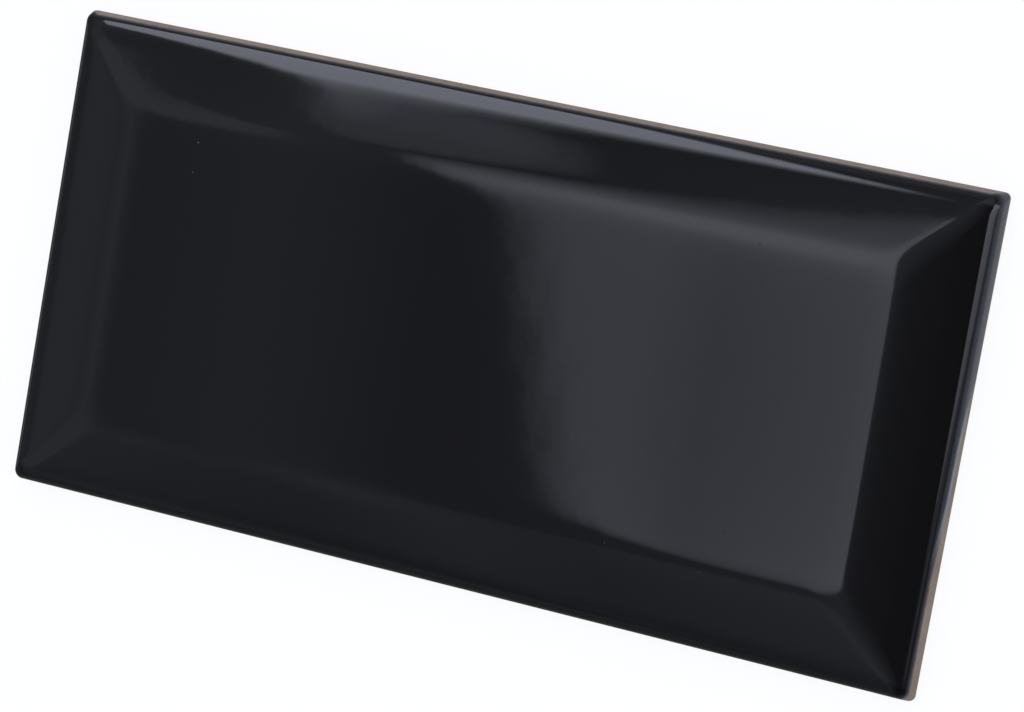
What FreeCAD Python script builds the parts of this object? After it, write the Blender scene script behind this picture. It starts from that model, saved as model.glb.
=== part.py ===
import FreeCAD, Part
import Sketcher
import os

# Subway wall tile: one piece of dust-pressed clay, glazed on its face and fired.
# Four bevels rise from a low arris to a flat panel, and the back is keyed for its adhesive bed.
# It lies on its back: X along its length, Y across it, Z out of the glazed face.
# The origin is the middle of the bedding face, and every size is in millimetres.

SIZES = [
    ("tile_length", 200.0, "over the foot"),
    ("tile_width", 100.0, "over the foot"),
    ("tile_thickness", 7.8, "bedding face to flat panel"),
    ("foot_land", 1.0, "height of the upright band that the die wall leaves"),
    ("foot_corner", 1.2, "plan radius of the foot's corners"),
    ("foot_bevel", 0.25, "broken edge round the bedding face"),
    ("arris_height", 4.9, "bedding face to the edge where wall and bevel meet"),
    ("wall_draw_in", 0.65, "how far the arris stands in from the foot"),
    ("arris_corner", 1.8, "plan radius of the arris's corners"),
    ("arris_round", 1.4, "radius rolled along the arris"),
    ("bevel_width", 15.8, "arris to the edge of the panel, in plan"),
    ("panel_corner", 5.0, "plan radius where two bevels and the panel meet"),
    ("panel_round", 32.0, "radius that eases the bevels into the panel"),
    ("key_depth", 0.6, "depth of the keyed cells in the back"),
    ("key_border", 6.0, "plain border round the cells"),
    ("key_rib", 2.0, "rib between two cells"),
    ("key_corner", 1.5, "plan radius of a cell's corners"),
    ("key_draft", 25.0, "degrees by which a cell's walls lean, to leave the punch"),
    ("cells_along", 8, "cells along the length, an even number"),
    ("cells_across", 4, "cells across the width, an even number"),
]

document = FreeCAD.newDocument("subway_tile")
sheet = document.addObject("Spreadsheet::Sheet", "Sizes")
for row, (alias, value, meaning) in enumerate(SIZES, start=1):
    sheet.set(f"A{row}", alias)
    sheet.set(f"B{row}", str(value))
    sheet.set(f"C{row}", meaning)
    sheet.setAlias(f"B{row}", alias)
document.recompute()

# Outlines that follow from the driving sizes.
ARRIS_LENGTH = "(Sizes.tile_length - 2 * Sizes.wall_draw_in)"
ARRIS_WIDTH = "(Sizes.tile_width - 2 * Sizes.wall_draw_in)"
PANEL_LENGTH = f"({ARRIS_LENGTH} - 2 * Sizes.bevel_width)"
PANEL_WIDTH = f"({ARRIS_WIDTH} - 2 * Sizes.bevel_width)"

# The cells and the ribs between them fill what the plain border leaves of the back.
CELL_PITCH_X = "((Sizes.tile_length - 2 * Sizes.key_border + Sizes.key_rib) / Sizes.cells_along)"
CELL_PITCH_Y = "((Sizes.tile_width - 2 * Sizes.key_border + Sizes.key_rib) / Sizes.cells_across)"
CELL_LENGTH = f"({CELL_PITCH_X} - Sizes.key_rib)"
CELL_WIDTH = f"({CELL_PITCH_Y} - Sizes.key_rib)"
FIRST_CELL_X = f"(Sizes.key_border + {CELL_LENGTH} / 2 - Sizes.tile_length / 2)"
FIRST_CELL_Y = f"(Sizes.key_border + {CELL_WIDTH} / 2 - Sizes.tile_width / 2)"

# Names for the sketcher's own numbers: its axes, a curve's ends and an arc's centre.
SKETCH_AXES = -1
START = 1
END = 2
CENTRE = 3
EDGE_TOLERANCE = 0.001


def number(expression):
    """The value, in millimetres, that an expression on the sheet has now."""
    return float(sheet.evalExpression(expression))


def origin_part(body, role):
    """One of the body's own origin planes or axes, found by its role."""
    return next(part for part in body.Origin.OriginFeatures if part.Role == role)


def rounded_rectangle(body, name, length, width, corner, place=("0", "0", "0")):
    """A sketched rectangle with rounded corners, parallel to the bed, with its centre at a place."""
    sketch = body.newObject("Sketcher::SketchObject", name)
    sketch.AttachmentSupport = [(origin_part(body, "XY_Plane"), "")]
    sketch.MapMode = "FlatFace"
    for axis, expression in zip("xyz", place):
        sketch.setExpression(f".AttachmentOffset.Base.{axis}", expression)

    radius = number(corner)
    reach_x = number(length) / 2 - radius
    reach_y = number(width) / 2 - radius
    # Sides run anticlockwise from the front one, and each ends on the corner of its own number.
    normals = [FreeCAD.Vector(0, -1), FreeCAD.Vector(1, 0), FreeCAD.Vector(0, 1), FreeCAD.Vector(-1, 0)]
    centres = [
        FreeCAD.Vector(reach_x, -reach_y),
        FreeCAD.Vector(reach_x, reach_y),
        FreeCAD.Vector(-reach_x, reach_y),
        FreeCAD.Vector(-reach_x, -reach_y),
    ]
    for side in range(4):
        outward = normals[side] * radius
        sketch.addGeometry(Part.LineSegment(centres[side - 1] + outward, centres[side] + outward))
    for side in range(4):
        leaving = normals[side]
        entering = normals[(side + 1) % 4]
        middle = (leaving + entering).normalize()
        points = [centres[side] + direction * radius for direction in (leaving, middle, entering)]
        sketch.addGeometry(Part.Arc(*points))

    front, right, back, left = range(4)
    corners = range(4, 8)
    for side, arc in enumerate(corners):
        sketch.addConstraint(Sketcher.Constraint("Tangent", side, END, arc, START))
        sketch.addConstraint(Sketcher.Constraint("Tangent", arc, END, (side + 1) % 4, START))
        sketch.addConstraint(Sketcher.Constraint("Vertical" if side in (left, right) else "Horizontal", side))
    for arc in corners[1:]:
        sketch.addConstraint(Sketcher.Constraint("Equal", corners[0], arc))
    opposite = ("Symmetric", corners[0], CENTRE, corners[2], CENTRE, SKETCH_AXES, START)
    sketch.addConstraint(Sketcher.Constraint(*opposite))
    driven = [
        ("length", ("DistanceX", left, START, right, START), length),
        ("width", ("DistanceY", front, START, back, START), width),
        ("corner", ("Radius", corners[0]), corner),
    ]
    for label, elements, expression in driven:
        index = sketch.addConstraint(Sketcher.Constraint(*elements, number(expression)))
        sketch.renameConstraint(index, label)
        sketch.setExpression(f"Constraints.{label}", expression)
    document.recompute()
    return sketch


def level_edges(shape, height):
    """Names of the edges that lie all along one height above the bed."""
    names = []
    for index, edge in enumerate(shape.Edges, start=1):
        box = edge.BoundBox
        if abs(box.ZMin - height) < EDGE_TOLERANCE and abs(box.ZMax - height) < EDGE_TOLERANCE:
            names.append(f"Edge{index}")
    return names


def ease_edges(body, kind, name, base, height, size_name, size):
    """A fillet or chamfer along every edge of the base feature at one height."""
    feature = body.newObject(kind, name)
    feature.Base = (base, level_edges(base.Shape, number(height)))
    feature.setExpression(size_name, size)
    document.recompute()
    return feature


def cell_row(body, name, axis, pitch, count):
    """One direction of the grid of cells."""
    pattern = body.newObject("PartDesign::LinearPattern", name)
    pattern.Direction = (origin_part(body, axis), [""])
    pattern.setExpression("Length", f"{pitch} * ({count} - 1)")
    pattern.setExpression("Occurrences", count)
    return pattern


def wall_tile():
    """The tile: foot, drawn-in walls, bevels and panel, their soft edges, and the keyed back."""
    body = document.addObject("PartDesign::Body", "wall_tile")
    body.Label = "wall_tile"

    foot_size = ("Sizes.tile_length", "Sizes.tile_width", "Sizes.foot_corner")
    foot_outline = rounded_rectangle(body, "foot_outline", *foot_size)
    foot = body.newObject("PartDesign::Pad", "foot")
    foot.Profile = foot_outline
    foot.setExpression("Length", "Sizes.foot_land")
    document.recompute()

    shoulder = rounded_rectangle(body, "shoulder_outline", *foot_size, ("0", "0", "Sizes.foot_land"))
    arris_size = (ARRIS_LENGTH, ARRIS_WIDTH, "Sizes.arris_corner")
    arris = rounded_rectangle(body, "arris_outline", *arris_size, ("0", "0", "Sizes.arris_height"))
    panel_size = (PANEL_LENGTH, PANEL_WIDTH, "Sizes.panel_corner")
    panel = rounded_rectangle(body, "panel_outline", *panel_size, ("0", "0", "Sizes.tile_thickness"))
    face = body.newObject("PartDesign::AdditiveLoft", "walls_and_bevels")
    face.Profile = shoulder
    face.Sections = [arris, panel]
    face.Ruled = True
    document.recompute()

    fillet = "PartDesign::Fillet"
    eased_panel = ease_edges(
        body, fillet, "eased_panel", face, "Sizes.tile_thickness", "Radius", "Sizes.panel_round"
    )
    rolled_arris = ease_edges(
        body, fillet, "rolled_arris", eased_panel, "Sizes.arris_height", "Radius", "Sizes.arris_round"
    )
    ease_edges(body, "PartDesign::Chamfer", "broken_foot", rolled_arris, "0", "Size", "Sizes.foot_bevel")

    cell_size = (CELL_LENGTH, CELL_WIDTH, "Sizes.key_corner")
    cell_outline = rounded_rectangle(body, "cell_outline", *cell_size, (FIRST_CELL_X, FIRST_CELL_Y, "0"))
    cell = body.newObject("PartDesign::Pocket", "key_cell")
    cell.Profile = cell_outline
    cell.Reversed = True
    cell.setExpression("Length", "Sizes.key_depth")
    cell.setExpression("TaperAngle", "-Sizes.key_draft")
    document.recompute()

    grid = body.newObject("PartDesign::MultiTransform", "keyed_back")
    along = cell_row(body, "cells_along", "X_Axis", CELL_PITCH_X, "Sizes.cells_along")
    across = cell_row(body, "cells_across", "Y_Axis", CELL_PITCH_Y, "Sizes.cells_across")
    grid.Originals = [cell]
    grid.Transformations = [along, across]
    body.Tip = grid
    document.recompute()
    return body


tile = wall_tile()

for item in document.Objects:
    if "Invalid" in item.State or "Error" in item.State:
        raise RuntimeError(f"{item.Name} failed: {item.State}")

plain_back = document.getObject("broken_foot").Shape.Volume
one_cell = document.getObject("key_cell").AddSubShape.Volume
all_cells = one_cell * number("Sizes.cells_along * Sizes.cells_across")
if abs(plain_back - tile.Shape.Volume - all_cells) > one_cell / 2:
    raise RuntimeError("the cells of the back are not all cut")
if tile.Shape.isNull() or not tile.Shape.isValid():
    raise RuntimeError("wall_tile has no valid shape")

os.makedirs("parts", exist_ok=True)
tile.Shape.exportStep(f"parts/{tile.Label}.step")
print(tile.Label, len(tile.Shape.Solids), "solid", round(tile.Shape.Volume), "mm3", tile.Shape.BoundBox)
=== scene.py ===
import math

import bmesh
import bpy
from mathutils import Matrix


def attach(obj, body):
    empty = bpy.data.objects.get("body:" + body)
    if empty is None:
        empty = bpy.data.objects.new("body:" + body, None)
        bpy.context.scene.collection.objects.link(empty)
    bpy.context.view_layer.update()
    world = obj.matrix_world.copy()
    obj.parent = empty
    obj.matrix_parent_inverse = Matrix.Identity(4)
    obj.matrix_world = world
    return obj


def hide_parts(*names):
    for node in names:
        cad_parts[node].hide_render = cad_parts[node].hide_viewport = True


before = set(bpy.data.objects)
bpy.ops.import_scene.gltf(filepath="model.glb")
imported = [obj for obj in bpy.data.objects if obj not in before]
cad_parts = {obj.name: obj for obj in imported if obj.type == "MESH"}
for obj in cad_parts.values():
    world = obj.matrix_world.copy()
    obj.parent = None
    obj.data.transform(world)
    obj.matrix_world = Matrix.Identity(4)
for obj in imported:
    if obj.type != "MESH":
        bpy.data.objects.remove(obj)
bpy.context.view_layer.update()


# ---------------------------------------------------------------------------------------------
# The tile. One piece of dust-pressed clay, glazed black on its face and fired once more.
# Four bevels rise from a rolled arris to a flat panel, the walls lean in a little, and the
# back is keyed with shallow cells for the adhesive bed.
# ---------------------------------------------------------------------------------------------
MM = 0.001  # sizes are in millimetres, and the scene is in metres
TILE_LENGTH = 200.0
TILE_WIDTH = 100.0
FOOT_BEVEL = 0.25
FOOT_CORNER = 1.2
FOOT_LAND = 1.0
WALL_DRAW_IN = 0.65
ARRIS_HEIGHT = 4.9
ARRIS_CORNER = 1.8
BEVEL_WIDTH = 15.8
BEVEL_RISE = 2.9
PANEL_CORNER = 5.0
PANEL_EASE = 1.4  # how slowly the bevel's slope fades out into the panel
ROLL_SLOPE = 1.15  # slope that the roll adds at the arris
ROLL_FADE = 0.95  # how fast that slope fades up the bevel
ROLL_END = 0.75  # inset at which the round of the arris meets the face

KEY_DEPTH = 0.6
KEY_BORDER = 6.0
KEY_RIB = 2.0
KEY_CORNER = 1.5
KEY_DRAFT = math.radians(25)
CELLS_ALONG = 8
CELLS_ACROSS = 4

# How finely the tile is divided. Each ring of the face is (inset, rings between it and the next).
SIDE_STEP = 2.0
CORNER_STEPS = 12
ROLL_STEPS = 14
FACE_RINGS = [(ROLL_END, 14), (4.0, 6), (10.0, 34), (23.0, 3), (26.0, None)]
KEY_CORNER_STEPS = 5
SMOOTH_UNDER = math.radians(30)

SHELF = 20.0  # a face ring waits at this height plus its inset until it gets its own height
SAME_LEVEL = 0.001  # heights closer than this are one level
SHORTEST_SIDE = 10.0  # an outline's edge over this length is a whole side, not a step of a corner


def face_height(inset):
    """Height of the glazed face at an inset from the arris, in millimetres."""
    slope = BEVEL_RISE / BEVEL_WIDTH
    fade = math.log1p(math.exp((BEVEL_WIDTH - inset) / PANEL_EASE))
    roll = ROLL_SLOPE * ROLL_FADE * math.exp(-inset / ROLL_FADE)
    return ARRIS_HEIGHT + BEVEL_RISE - slope * PANEL_EASE * fade - roll


def arris_roll():
    """The round between wall and face, as (inset from the arris, height) from the wall up."""
    lean = WALL_DRAW_IN / (ARRIS_HEIGHT - FOOT_LAND)
    wall_angle = math.atan2(1, lean)
    step = 0.001
    end_height = face_height(ROLL_END)
    end_angle = math.atan((face_height(ROLL_END + step) - end_height) / step)
    reach = ROLL_END + (ARRIS_HEIGHT - end_height) * lean
    drawn_in = (math.cos(end_angle) - math.cos(wall_angle)) * lean
    radius = reach / (math.sin(wall_angle) - math.sin(end_angle) - drawn_in)
    centre_inset = ROLL_END + radius * math.sin(end_angle)
    centre_height = end_height - radius * math.cos(end_angle)
    points = []
    for index in range(ROLL_STEPS):
        angle = wall_angle + (end_angle - wall_angle) * index / ROLL_STEPS
        inset = centre_inset - radius * math.sin(angle)
        points.append((inset, centre_height + radius * math.cos(angle)))
    return points


def corner_at(inset):
    """Plan radius of a corner at an inset from the arris: the mitre is tight low, soft high up."""
    return ARRIS_CORNER + (PANEL_CORNER - ARRIS_CORNER) * max(inset, 0) / BEVEL_WIDTH


def select_edges(mesh, wanted):
    """Selects only the edges that pass a test, in edit mode."""
    bpy.ops.mesh.select_all(action="DESELECT")
    shape = bmesh.from_edit_mesh(mesh)
    for edge in shape.edges:
        if wanted(edge):
            edge.select_set(True)
    bmesh.update_edit_mesh(mesh)


def level(edge, height):
    """Whether an edge lies at one height, in millimetres."""
    return all(abs(vert.co.z / MM - height) < SAME_LEVEL for vert in edge.verts)


def run(edge, axis):
    """How far an edge runs along an axis, in millimetres."""
    return abs(edge.verts[0].co[axis] - edge.verts[1].co[axis]) / MM


def add_outline(mesh, inset, corner, height):
    """Adds a level rectangle with round corners, its sides divided evenly."""
    place = (0, 0, height * MM)
    bpy.ops.mesh.primitive_plane_add(size=2, location=place)
    half = ((TILE_LENGTH / 2 - inset) * MM, (TILE_WIDTH / 2 - inset) * MM, 1)
    bpy.ops.transform.resize(value=half, center_override=place)
    bpy.ops.mesh.bevel(offset=corner * MM, segments=CORNER_STEPS, affect="VERTICES")
    bpy.ops.mesh.delete(type="ONLY_FACE")
    for axis, side in enumerate((TILE_LENGTH, TILE_WIDTH)):
        select_edges(mesh, lambda edge: level(edge, height) and run(edge, axis) > SHORTEST_SIDE)
        bpy.ops.mesh.subdivide(number_cuts=round(side / SIDE_STEP) - 1)
    bpy.ops.mesh.select_all(action="DESELECT")


def bridge(mesh, low, high, between):
    """Joins the outlines at two heights by a band of faces, with more rings between them."""
    select_edges(mesh, lambda edge: level(edge, low) or level(edge, high))
    bpy.ops.mesh.bridge_edge_loops(number_cuts=between, interpolation="LINEAR")


# The walls and the face are outlines bridged one to the next, from the foot to inside the panel.
# Each outline is (inset from the foot, plan radius of its corners, height).
walls = [
    (FOOT_BEVEL, FOOT_CORNER - FOOT_BEVEL, 0.0),
    (0.0, FOOT_CORNER, FOOT_BEVEL),
    (0.0, FOOT_CORNER, FOOT_LAND),
]
walls += [(WALL_DRAW_IN + inset, corner_at(inset), height) for inset, height in arris_roll()]
face = [(WALL_DRAW_IN + inset, corner_at(inset), SHELF + inset) for inset, rings in FACE_RINGS]
outlines = walls + face
heights = [height for inset, corner, height in outlines]
rings_between = [0] * len(walls) + [rings for inset, rings in FACE_RINGS]

bpy.ops.object.select_all(action="DESELECT")
bpy.ops.mesh.primitive_plane_add(size=2)
tile = bpy.context.object
tile.name = tile.data.name = "black_bevelled_tile"
mesh = tile.data
bpy.ops.object.mode_set(mode="EDIT")
bpy.ops.mesh.select_mode(type="EDGE")
bpy.ops.mesh.select_all(action="SELECT")
bpy.ops.mesh.delete(type="VERT")
for outline in outlines:
    add_outline(mesh, *outline)
for low, high, rings in zip(heights, heights[1:], rings_between):
    bridge(mesh, low, high, rings)
select_edges(mesh, lambda edge: level(edge, heights[-1]))
bpy.ops.mesh.fill_grid(span=round(TILE_LENGTH / SIDE_STEP) + CORNER_STEPS)

# Each ring of the face settles from the shelf to the height of the bevel at its inset.
shape = bmesh.from_edit_mesh(mesh)
for vert in shape.verts:
    inset = vert.co.z / MM - SHELF
    if inset > 0:
        vert.co.z = face_height(inset) * MM
bmesh.update_edit_mesh(mesh)
bpy.ops.object.mode_set(mode="OBJECT")

# The keyed back is a grid of cells parted by ribs, each sunk into the clay with leaning walls.
bpy.ops.object.select_all(action="DESELECT")
bpy.ops.mesh.primitive_grid_add(x_subdivisions=CELLS_ALONG, y_subdivisions=CELLS_ACROSS, size=2)
bpy.ops.object.mode_set(mode="EDIT")
bpy.ops.mesh.select_mode(type="FACE")
bpy.ops.mesh.select_all(action="SELECT")
half = [(side - 2 * KEY_BORDER + KEY_RIB) / 2 * MM for side in (TILE_LENGTH, TILE_WIDTH)]
bpy.ops.transform.resize(value=(*half, 1), center_override=(0, 0, 0))
bpy.ops.mesh.inset(thickness=KEY_RIB / 2 * MM, use_individual=True)
bpy.ops.mesh.select_all(action="INVERT")
bpy.ops.mesh.delete(type="FACE")
bpy.ops.mesh.select_all(action="SELECT")
bpy.ops.mesh.bevel(offset=KEY_CORNER * MM, segments=KEY_CORNER_STEPS, affect="VERTICES")
bpy.ops.mesh.select_all(action="SELECT")
lean_in = KEY_DEPTH * math.tan(KEY_DRAFT)
bpy.ops.mesh.inset(thickness=lean_in * MM, depth=KEY_DEPTH * MM, use_individual=True)
bpy.ops.object.mode_set(mode="OBJECT")

# Back and face are joined round the cells, and all faces are turned outwards.
tile.select_set(True)
bpy.context.view_layer.objects.active = tile
bpy.ops.object.join()
bpy.ops.object.mode_set(mode="EDIT")
bpy.ops.mesh.select_mode(type="EDGE")
select_edges(mesh, lambda edge: level(edge, 0) and len(edge.link_faces) == 1)
bpy.ops.mesh.fill(use_beauty=True)
bpy.ops.mesh.select_all(action="SELECT")
bpy.ops.mesh.normals_make_consistent(inside=False)
bpy.ops.object.mode_set(mode="OBJECT")
bpy.ops.object.shade_smooth_by_angle(angle=SMOOTH_UNDER)

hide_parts("wall_tile")
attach(tile, "root")

# Colours are linear. All the rest is in millimetres, apart from roughness and mirror strength.
GLAZE_BLACK = (0.0027, 0.0025, 0.0026, 1)
THIN_GLAZE = (0.075, 0.057, 0.060, 1)
# The pale colour below is a painted highlight on the right wall's glaze.
PAINTED_WALL_HIGHLIGHT = (0.125, 0.132, 0.134, 1)
WALL_GLAZE = (0.014, 0.020, 0.032, 1)
BISCUIT = (0.222, 0.172, 0.124, 1)
BISCUIT_DARK = (0.168, 0.127, 0.092, 1)
DUST = (0.07, 0.07, 0.07, 1)

# A pair of numbers is where a change starts and where it ends, and four of them are where a band
# starts, is full, wanes and ends.
FACE_TO_FAR_WALL = (47.0, 49.5)
FACE_TO_RIGHT_WALL = (97.0, 99.2)
FAR_WALL_LEFT_END = (-98.5, -97.0)

# The border is where the glaze stops, as a height above the bed. On the right wall it changes
# along the wall, here as (Y, height) stops.
BORDER = 2.6
BORDER_FAR = 3.5
BORDER_RIGHT = [
    (-50, 3.4), (-24, 3.4), (-17, 2.6), (-10, 2.0), (0, 1.9), (8, 1.2), (16, 0.2), (50, 0.2),
]
BORDER_RAGGED = 0.35
BORDER_DRIFT = 0.25
GLAZE_STARTS = (0.0, 0.15)
GLAZE_THICKENS = (0.0, 0.7)
# Where the painted highlight lies along the right wall, and how high above the border.
PAINTED_HIGHLIGHT_ALONG = (-24, -13, 4, 14)
PAINTED_HIGHLIGHT_ABOVE = (0.0, 0.3, 0.8, 1.5)
WALL_GLAZE_HEIGHT = (4.3, 3.6)
CLOUD_CONTRAST = (0.3, 0.7)
PIT_CONTRAST = (0.1, 0.7)

GLOSS_ROUGHNESS = 0.025
GLOSS_UNEVEN = 0.02
WALL_ROUGHNESS = 0.2
WALL_PITTED = 0.3
WALL_STARVED = 0.2
BISCUIT_ROUGHNESS = 0.85
FACE_MIRROR = 0.5
WALL_MIRROR = 0.28
STARVED_MIRROR = 0.10
FULL_GLAZE_HEIGHT = (4.0, 4.5)
FULLER_ON_RIGHT = 0.25
FULLER_WHERE_STARVED = -0.4

WAVE_HEIGHT = 0.006
PEEL_HEIGHT = 0.002
GRAIN_HEIGHT = 0.04
PIN_HOLE_DEPTH = 0.06
SPECK_FADES = (1.4, 0.7)  # in shares of its radius

# Specks and holes on the face are (X, Y, radius).
DUST_SPECKS = [(-67.4, 28.0, 0.16), (-67.6, 21.8, 0.12), (34.4, -32.7, 0.10), (54.8, -34.0, 0.08)]
PIN_HOLES = [(56.8, 1.7, 0.14), (58.2, -25.3, 0.16), (54.9, 31.3, 0.14)]


def add_node(tree, kind, inputs=None, **settings):
    """Adds a shader node. Inputs are values, or sockets to link from."""
    node = tree.nodes.new(kind)
    for name, value in settings.items():
        setattr(node, name, value)
    for name, value in (inputs or {}).items():
        if isinstance(value, bpy.types.NodeSocket):
            tree.links.new(value, node.inputs[name])
        else:
            node.inputs[name].default_value = value
    return node


def calculate(tree, operation, *values):
    """A sum, product or other operation on values or sockets, as an output socket."""
    node = add_node(tree, "ShaderNodeMath", dict(enumerate(values)), operation=operation)
    return node.outputs[0]


def product(tree, *factors):
    """All factors multiplied."""
    result = factors[0]
    for factor in factors[1:]:
        result = calculate(tree, "MULTIPLY", result, factor)
    return result


def fade_in(tree, value, start, end):
    """0 below start, 1 above end, smooth between. Start may be above end."""
    limits = {"Value": value, "From Min": start, "From Max": end}
    node = add_node(tree, "ShaderNodeMapRange", limits, interpolation_type="SMOOTHSTEP")
    return node.outputs["Result"]


def band(tree, value, start, full, waning, end):
    """1 from full to waning, and 0 outside start and end, smooth between."""
    return product(tree, fade_in(tree, value, start, full), fade_in(tree, value, end, waning))


def noise(tree, vector, scale, detail, roughness=0.5):
    """Cloudy noise from 0 to 1, with scale in features to the metre."""
    settings = {"Vector": vector, "Scale": scale, "Detail": detail, "Roughness": roughness}
    return add_node(tree, "ShaderNodeTexNoise", settings).outputs["Fac"]


def blend(tree, factor, first, second):
    """The first number where the factor is 0, the second where it is 1."""
    return add_node(tree, "ShaderNodeMix", {0: factor, 2: first, 3: second}).outputs[0]


def blend_colours(tree, factor, first, second):
    """The first colour where the factor is 0, the second where it is 1."""
    inputs = {0: factor, 6: first, 7: second}
    return add_node(tree, "ShaderNodeMix", inputs, data_type="RGBA").outputs[2]


def graded(tree, value, stops):
    """A number that changes evenly along a value from one (value, number) stop to the next."""
    start, end, peak = stops[0][0], stops[-1][0], max(number for at, number in stops)
    limits = {"Value": value, "From Min": start, "From Max": end}
    share = add_node(tree, "ShaderNodeMapRange", limits).outputs["Result"]
    ramp = add_node(tree, "ShaderNodeValToRGB", {"Fac": share})
    elements = ramp.color_ramp.elements
    for at, number in stops[1:-1]:
        elements.new((at - start) / (end - start))
    for element, (at, number) in zip(elements, stops):
        element.color = (number / peak,) * 3 + (1,)
    return calculate(tree, "MULTIPLY", ramp.outputs["Color"], peak)


def speck(tree, place, x, y, radius):
    """1 in a small round speck on the face, at a place in millimetres."""
    flatten = {0: place, 1: (1, 1, 0)}
    flat = add_node(tree, "ShaderNodeVectorMath", flatten, operation="MULTIPLY").outputs["Vector"]
    ends = {0: flat, 1: (x * MM, y * MM, 0)}
    away = add_node(tree, "ShaderNodeVectorMath", ends, operation="DISTANCE").outputs["Value"]
    return fade_in(tree, away, *(radius * share * MM for share in SPECK_FADES))


finish = bpy.data.materials.new("black_glaze_on_biscuit")
finish.use_nodes = True
nodes = finish.node_tree
nodes.nodes.clear()
place = add_node(nodes, "ShaderNodeTexCoord").outputs["Object"]
axes = add_node(nodes, "ShaderNodeSeparateXYZ", {"Vector": place}).outputs
along, across, height = [calculate(nodes, "MULTIPLY", axis, 1 / MM) for axis in axes]

# The border runs level along three sides. On the right the glaze has run down over the wall's
# far half. The near and left walls are starved of glaze.
on_right = fade_in(nodes, along, *FACE_TO_RIGHT_WALL)
on_far = product(
    nodes,
    fade_in(nodes, across, *FACE_TO_FAR_WALL),
    fade_in(nodes, along, *FAR_WALL_LEFT_END),
)
starved = calculate(nodes, "SUBTRACT", 1.0, calculate(nodes, "MAXIMUM", on_far, on_right))
border = calculate(nodes, "MULTIPLY_ADD", on_far, BORDER_FAR - BORDER, BORDER)
border = blend(nodes, on_right, border, graded(nodes, across, BORDER_RIGHT))
ragged = calculate(nodes, "SUBTRACT", noise(nodes, place, scale=900, detail=3), 0.5)
drift = calculate(nodes, "SUBTRACT", noise(nodes, place, scale=60, detail=1), 0.5)
border = calculate(nodes, "MULTIPLY_ADD", ragged, BORDER_RAGGED, border)
border = calculate(nodes, "MULTIPLY_ADD", drift, BORDER_DRIFT, border)
above = calculate(nodes, "SUBTRACT", height, border)
glazed = fade_in(nodes, above, *GLAZE_STARTS)
bare = calculate(nodes, "SUBTRACT", 1.0, glazed)

# The biscuit is clouded. The glaze is black where it lies thick, bluish and pitted on the right
# wall. Half-way along that wall, just above the border, a pale strip is a painted highlight.
clouds = noise(nodes, place, scale=90, detail=6, roughness=0.7)
biscuit = blend_colours(nodes, fade_in(nodes, clouds, *CLOUD_CONTRAST), BISCUIT_DARK, BISCUIT)
pits = noise(nodes, place, scale=1300, detail=2)
low_on_right = product(
    nodes,
    on_right,
    fade_in(nodes, height, *WALL_GLAZE_HEIGHT),
    fade_in(nodes, pits, *PIT_CONTRAST),
)
# Mask of the painted highlight on the right wall.
painted_highlight = product(
    nodes,
    on_right,
    band(nodes, across, *PAINTED_HIGHLIGHT_ALONG),
    band(nodes, above, *PAINTED_HIGHLIGHT_ABOVE),
)
glaze = blend_colours(nodes, low_on_right, GLAZE_BLACK, WALL_GLAZE)
glaze = blend_colours(nodes, fade_in(nodes, above, *GLAZE_THICKENS), THIN_GLAZE, glaze)
# The painted highlight is laid into the glaze colour.
glaze = blend_colours(nodes, painted_highlight, glaze, PAINTED_WALL_HIGHLIGHT)
colour = blend_colours(nodes, glazed, biscuit, glaze)
for spot in DUST_SPECKS:
    colour = blend_colours(nodes, speck(nodes, place, *spot), colour, DUST)

# The face is glossy. The thin glaze on the walls is dull, most of all where it is starved.
unevenness = noise(nodes, place, scale=40, detail=2)
gloss = calculate(nodes, "MULTIPLY_ADD", unevenness, GLOSS_UNEVEN, GLOSS_ROUGHNESS)
dull = calculate(nodes, "MULTIPLY_ADD", pits, WALL_PITTED, WALL_ROUGHNESS)
dull = calculate(nodes, "MULTIPLY_ADD", starved, WALL_STARVED, dull)
cover = calculate(nodes, "MULTIPLY_ADD", on_right, FULLER_ON_RIGHT, height)
cover = calculate(nodes, "MULTIPLY_ADD", starved, FULLER_WHERE_STARVED, cover)
full = fade_in(nodes, cover, *FULL_GLAZE_HEIGHT)
rough = blend(nodes, bare, blend(nodes, full, dull, gloss), BISCUIT_ROUGHNESS)
mirror = blend(nodes, full, blend(nodes, starved, WALL_MIRROR, STARVED_MIRROR), FACE_MIRROR)

# Fired glaze lies in faint waves and orange peel, and the biscuit shows its pressed grain.
wave = calculate(nodes, "MULTIPLY", noise(nodes, place, scale=130, detail=0), WAVE_HEIGHT * MM)
peel = calculate(nodes, "MULTIPLY", noise(nodes, place, scale=300, detail=1), PEEL_HEIGHT * MM)
pressed = noise(nodes, place, scale=2500, detail=4, roughness=0.7)
relief = calculate(nodes, "ADD", wave, peel)
relief = calculate(nodes, "ADD", relief, product(nodes, pressed, bare, GRAIN_HEIGHT * MM))
for spot in PIN_HOLES:
    hole = speck(nodes, place, *spot)
    relief = calculate(nodes, "MULTIPLY_ADD", hole, -PIN_HOLE_DEPTH * MM, relief)
bump = add_node(nodes, "ShaderNodeBump", {"Height": relief, "Strength": 1.0, "Distance": 1.0})

shader = add_node(nodes, "ShaderNodeBsdfPrincipled", {
    "Base Color": colour,
    "Roughness": rough,
    "IOR": 1.5,
    "Specular IOR Level": mirror,
    "Normal": bump.outputs["Normal"],
})
add_node(nodes, "ShaderNodeOutputMaterial", {"Surface": shader.outputs["BSDF"]})
mesh.materials.clear()
mesh.materials.append(finish)


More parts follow.
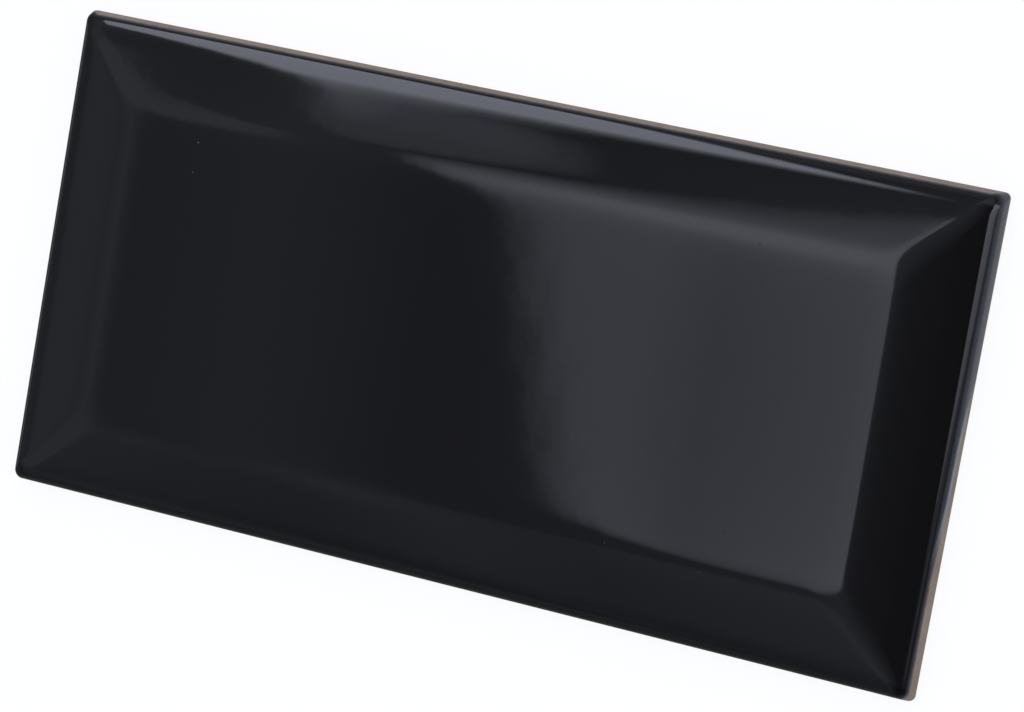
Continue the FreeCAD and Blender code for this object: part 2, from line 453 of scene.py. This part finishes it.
# ---------------------------------------------------------------------------------------------
# The studio: a pale floor under the tile, soft windows of light round it, and the camera.
# None of it belongs to the tile.
# ---------------------------------------------------------------------------------------------
FLOOR_SIDE = 6000.0
FLOOR_DROP = 0.02  # the floor lies this far under the bed, so that the two don't touch
FLOOR_MARGIN = 0.3  # the floor has an opening under the tile, this much smaller, to see its back
FLOOR_PAINT = (0.90, 0.90, 0.90, 1)
FLOOR_LIT = 0.90  # share of white that the floor shows whatever falls on it
WHITE = (1, 1, 1, 1)

bpy.ops.object.select_all(action="DESELECT")
bpy.ops.mesh.primitive_plane_add(size=FLOOR_SIDE * MM, location=(0, 0, -FLOOR_DROP * MM))
floor = bpy.context.object
floor.name = floor.data.name = "studio_floor"
opening = [side / 2 - FLOOR_MARGIN for side in (TILE_LENGTH, TILE_WIDTH)]
bpy.ops.object.mode_set(mode="EDIT")
bpy.ops.mesh.select_mode(type="FACE")
bpy.ops.mesh.select_all(action="SELECT")
bpy.ops.mesh.inset(thickness=(FLOOR_SIDE / 2 - opening[1]) * MM)
bpy.ops.transform.resize(value=(opening[0] / opening[1], 1, 1), center_override=(0, 0, 0))
bpy.ops.mesh.delete(type="FACE")
bpy.ops.object.mode_set(mode="OBJECT")
bpy.ops.object.transform_apply(location=True, rotation=True, scale=True)

# The floor is painted on top, and can be seen through from below.
paint = bpy.data.materials.new("studio_floor")
paint.use_nodes = True
nodes = paint.node_tree
nodes.nodes.clear()
ray = add_node(nodes, "ShaderNodeLightPath").outputs
seen = calculate(nodes, "MAXIMUM", ray["Is Camera Ray"], ray["Is Glossy Ray"])
seen = calculate(nodes, "MAXIMUM", seen, ray["Is Transmission Ray"])
share_lit = calculate(nodes, "MULTIPLY", seen, FLOOR_LIT)
painted = add_node(nodes, "ShaderNodeBsdfDiffuse", {"Color": FLOOR_PAINT}).outputs[0]
plain = add_node(nodes, "ShaderNodeEmission", {"Color": WHITE}).outputs[0]
top = add_node(nodes, "ShaderNodeMixShader", {"Fac": share_lit, 1: painted, 2: plain}).outputs[0]
below = add_node(nodes, "ShaderNodeNewGeometry").outputs["Backfacing"]
clear = add_node(nodes, "ShaderNodeBsdfTransparent").outputs[0]
both = add_node(nodes, "ShaderNodeMixShader", {"Fac": below, 1: top, 2: clear}).outputs[0]
add_node(nodes, "ShaderNodeOutputMaterial", {"Surface": both})
floor.data.materials.append(paint)

# The studio's light comes by direction, as soft-edged panes in a dim room. U and V are how far a
# direction leans along and across the tile, as run over rise, so straight edges stay straight.
LIGHT_TINT = (0.945, 1.0, 1.18, 1)
SOFT_FILL = 0.62
UNDER_LIGHT = 1.0
LOWEST_RISE = 0.02
HORIZON = (-0.02, 0.02)
WHITE_BACKDROP_ENDS = (0.06, 0.02)
LOW_RIGHT_ENDS = (0.4, 0.2)

ROOM_HIGHEST = 0.43
FAR_LEVEL = 0.55
BESIDE_LEVEL = 0.5
TALL_LEVEL = 3.25
UNDER_SIDE_LEVEL = 0.42
LOW_RIGHT_LEVEL = 0.5

# Levels of light, as (U or V, level) stops.
ROOM_BY_U = [
    (-2.0, 0.22), (-1.35, 0.24), (-1.2, 0.35), (-1.13, 0.37), (-1.0, 0.33), (-0.77, 0.41),
    (-0.7, 0.39), (-0.62, 0.33), (-0.56, 0.27), (-0.51, 0.24), (-0.47, 0.29), (-0.45, 0.27),
    (-0.42, 0.19), (-0.39, 0.19), (-0.34, 0.22), (-0.25, 0.28), (-0.15, 0.29), (-0.1, 0.25),
    (-0.03, 0.17), (0.04, 0.14), (0.09, 0.11), (0.11, 0.075), (0.5, 0.06), (1.0, 0.15),
]
ROOM_BY_V = [
    (-1.6, 0.66), (-0.75, 0.70), (-0.66, 0.81), (-0.6, 1.02), (-0.5, 1.25), (-0.42, 1.2),
    (-0.33, 1.05), (-0.2, 1.0), (-0.1, 1.0), (0.0, 1.15), (0.2, 1.15), (0.28, 1.12),
    (0.35, 1.0), (0.8, 1.2),
]
LOW_FRONT_BY_U = [
    (-0.5, 0.30), (-0.45, 0.33), (-0.40, 0.28), (-0.33, 0.36), (-0.26, 0.42), (-0.2, 0.41),
    (-0.12, 0.3),
]
LOW_FRONT_BY_V = [(-0.72, 0.65), (-0.66, 0.79), (-0.6, 0.96), (-0.5, 1.02), (-0.4, 1.0)]
LOW_PANE_BY_U = [
    (-0.42, 0.8), (-0.365, 0.95), (-0.35, 0.95), (-0.33, 0.77), (-0.31, 0.88), (-0.29, 1.0),
    (-0.25, 1.1), (-0.1, 1.2),
]
LOW_PANE_BY_V = [
    (-0.3, 0.75), (-0.26, 0.85), (-0.23, 1.05), (-0.19, 1.12), (-0.15, 1.0), (-0.1, 0.99),
]
HIGH_PANE_BY_V = [(0.1, 1.0), (0.15, 0.88), (0.2, 0.8)]
UNDER_TALL_BY_V = [
    (0.15, 0.25), (0.19, 0.42), (0.21, 0.50), (0.25, 0.57), (0.275, 0.59), (0.295, 0.68),
    (0.31, 0.60),
]
SIDE_BY_V = [(-0.15, 1.15), (0.0, 2.2)]

# The upper part of the main window also changes along two slanting lines, U + share * V.
PANE_SLANT = -0.85
HIGH_PANE_ALONG_SLANT = [
    (-0.60, 0.15), (-0.585, 0.36), (-0.57, 0.62), (-0.555, 0.78), (-0.545, 0.93), (-0.525, 1.1),
    (-0.505, 1.22), (-0.485, 1.34), (-0.455, 1.55), (-0.42, 1.66),
]
JAMB_SLANT = 0.32
HIGH_PANE_FROM_JAMB = [(-0.44, 0.4), (-0.41, 0.75), (-0.39, 0.87), (-0.34, 1.0)]
LOW_TO_HIGH_PANE = (-0.13, 0.03)

studio = bpy.data.worlds.new("soft_studio")
bpy.context.scene.world = studio
studio.use_nodes = True
nodes = studio.node_tree
nodes.nodes.clear()
toward = add_node(nodes, "ShaderNodeTexCoord").outputs["Generated"]
leaning = add_node(nodes, "ShaderNodeSeparateXYZ", {"Vector": toward}).outputs
rise = calculate(nodes, "MAXIMUM", leaning["Z"], LOWEST_RISE)
u = calculate(nodes, "DIVIDE", leaning["X"], rise)
v = calculate(nodes, "DIVIDE", leaning["Y"], rise)


def slanting(u_share, v_share):
    """How far a direction lies along a slanting line in U and V."""
    return calculate(nodes, "MULTIPLY_ADD", v, v_share, calculate(nodes, "MULTIPLY", u, u_share))


def beyond(u_share, v_share, start, softness):
    """1 on the far side of a straight edge in U and V, 0 on the near side, soft between."""
    return fade_in(nodes, slanting(u_share, v_share), start - softness, start + softness)


def lightest(*levels):
    """The brightest of several levels of light."""
    result = levels[0]
    for other in levels[1:]:
        result = calculate(nodes, "MAXIMUM", result, other)
    return result


# The dim room, lighter to the left and overhead, darkest to the right.
room = product(nodes, graded(nodes, u, ROOM_BY_U), graded(nodes, v, ROOM_BY_V))
low_front = product(
    nodes,
    beyond(1, 0, -0.5, 0.04),
    beyond(-1, 0, 0.12, 0.06),
    beyond(0, -1, 0.36, 0.05),
    graded(nodes, u, LOW_FRONT_BY_U),
    graded(nodes, v, LOW_FRONT_BY_V),
)
room = calculate(nodes, "MINIMUM", lightest(room, low_front), ROOM_HIGHEST)
far_wall = product(
    nodes,
    beyond(1, 0, -0.28, 0.06),
    beyond(0, 1, 0.35, 0.15),
    beyond(-1, 0, -0.5, 0.2),
    FAR_LEVEL,
)
far_left = product(
    nodes,
    beyond(-1, 0, 0.46, 0.02),
    beyond(0, 1, -0.03, 0.07),
    beyond(1, -1.5, -1.04, 0.1),
    beyond(-1.3, -1, 0.481, 0.03),
    FAR_LEVEL,
)
beside_it = product(
    nodes,
    beyond(-1, -0.35, 0.433, 0.004),
    beyond(1, -1.5, -1.04, 0.1),
    beyond(0, -1, -0.33, 0.03),
    beyond(0, 1, 0.12, 0.04),
    BESIDE_LEVEL,
)

# The main window, which lights the right half of the panel. It is brightest high up.
left_jamb = product(nodes, beyond(1, JAMB_SLANT, -0.4255, 0.016), beyond(1, 0.10, -0.4195, 0.012))
sill = product(nodes, beyond(-0.165, 1, -0.238, 0.032), beyond(-1.2, 1, -0.063, 0.04))
tip = product(nodes, beyond(1, 0, -0.290, 0.006), beyond(0, -1, -0.312, 0.008))
head = product(nodes, lightest(beyond(0.25, -1, -0.370, 0.010), tip), beyond(-1, -1, -0.016, 0.012))
low_pane = product(nodes, graded(nodes, u, LOW_PANE_BY_U), graded(nodes, v, LOW_PANE_BY_V))
high_pane = product(
    nodes,
    graded(nodes, slanting(1, PANE_SLANT), HIGH_PANE_ALONG_SLANT),
    graded(nodes, slanting(1, JAMB_SLANT), HIGH_PANE_FROM_JAMB),
    graded(nodes, v, HIGH_PANE_BY_V),
)
pane = blend(nodes, fade_in(nodes, v, *LOW_TO_HIGH_PANE), low_pane, high_pane)
main = product(nodes, left_jamb, beyond(-1, 0, 0.178, 0.018), head, sill, pane)
main_foot = product(
    nodes,
    left_jamb,
    beyond(-1, -0.84, 0.225, 0.02),
    beyond(0, -1, 0.04, 0.02),
    sill,
    pane,
)

# The tall window above it, which shines along the upper arris, and what is lit below it.
tall = product(
    nodes,
    beyond(1, 0.43, -0.355, 0.012),
    lightest(beyond(1, 0.36, -0.3715, 0.012), beyond(1, 0.43, -0.325, 0.012)),
    beyond(-1, -0.30, 0.165, 0.02),
    beyond(-1, -0.38, 0.05, 0.03),
    beyond(-1, 1, 0.79, 0.11),
    beyond(0, -1, -2.65, 0.5),
    TALL_LEVEL,
)
under_tall = product(
    nodes,
    beyond(1, 0.22, -0.4165, 0.006),
    beyond(1, -0.5, -0.65, 0.02),
    beyond(-1, 0.5, 0.52, 0.03),
    beyond(-1, -1, 0.095, 0.03),
    beyond(0, -1, -0.36, 0.03),
    graded(nodes, v, UNDER_TALL_BY_V),
)

# The window to the right, which the right bevel and the right wall mirror.
side = product(
    nodes,
    beyond(1, 0, 0.54, 0.03),
    beyond(1, 1.9, 0.37, 0.06),
    beyond(0, 1, -0.19, 0.04),
    beyond(0, -1, -0.5, 0.15),
    graded(nodes, v, SIDE_BY_V),
)
under_side = product(
    nodes,
    beyond(1, 0, 0.85, 0.25),
    beyond(0, 1, -0.32, 0.05),
    UNDER_SIDE_LEVEL,
)
low_right = product(
    nodes,
    beyond(1, 0, 0.5, 0.3),
    fade_in(nodes, leaning["Z"], *LOW_RIGHT_ENDS),
    LOW_RIGHT_LEVEL,
)

windows = (main, main_foot, under_tall, tall, side, under_side, low_right)
light = lightest(room, far_wall, far_left, beside_it, *windows)
upper_half = fade_in(nodes, leaning["Z"], *HORIZON)

# An even light from all round, too soft to be mirrored, fills in the matt surfaces.
ray = add_node(nodes, "ShaderNodeLightPath").outputs
mirrored = calculate(nodes, "MAXIMUM", ray["Is Glossy Ray"], ray["Is Transmission Ray"])
fill = product(nodes, calculate(nodes, "SUBTRACT", 1.0, mirrored), SOFT_FILL)
light = blend(nodes, upper_half, UNDER_LIGHT, calculate(nodes, "ADD", light, fill))
glow = add_node(nodes, "ShaderNodeBackground", {"Color": LIGHT_TINT, "Strength": light}).outputs[0]

# The backdrop is white to the camera, and low down, where the gloss mirrors it, to the gloss too.
plain = add_node(nodes, "ShaderNodeBackground", {"Color": WHITE}).outputs[0]
mirrored = product(nodes, mirrored, fade_in(nodes, leaning["Z"], *WHITE_BACKDROP_ENDS))
backdrop = calculate(nodes, "MAXIMUM", ray["Is Camera Ray"], mirrored)
sky = add_node(nodes, "ShaderNodeMixShader", {"Fac": backdrop, 1: glow, 2: plain}).outputs[0]
add_node(nodes, "ShaderNodeOutputWorld", {"Surface": sky})

CAMERA_PLACE = (284.625, 96.955, 720.920)
CAMERA_TURN = (-3.31099, 22.09983, 10.70334)  # degrees
CAMERA_LENS = 136.7335
SENSOR_WIDTH = 36.0
NEAREST_SEEN = 10.0
FARTHEST_SEEN = 100000.0

bpy.ops.object.camera_add(
    location=[value * MM for value in CAMERA_PLACE],
    rotation=[math.radians(value) for value in CAMERA_TURN],
)
camera = bpy.context.object
camera.name = "photo_camera"
camera.data.lens = CAMERA_LENS
camera.data.sensor_width = SENSOR_WIDTH
camera.data.clip_start = NEAREST_SEEN * MM
camera.data.clip_end = FARTHEST_SEEN * MM
bpy.context.scene.camera = camera
bpy.context.scene.view_settings.view_transform = "Standard"
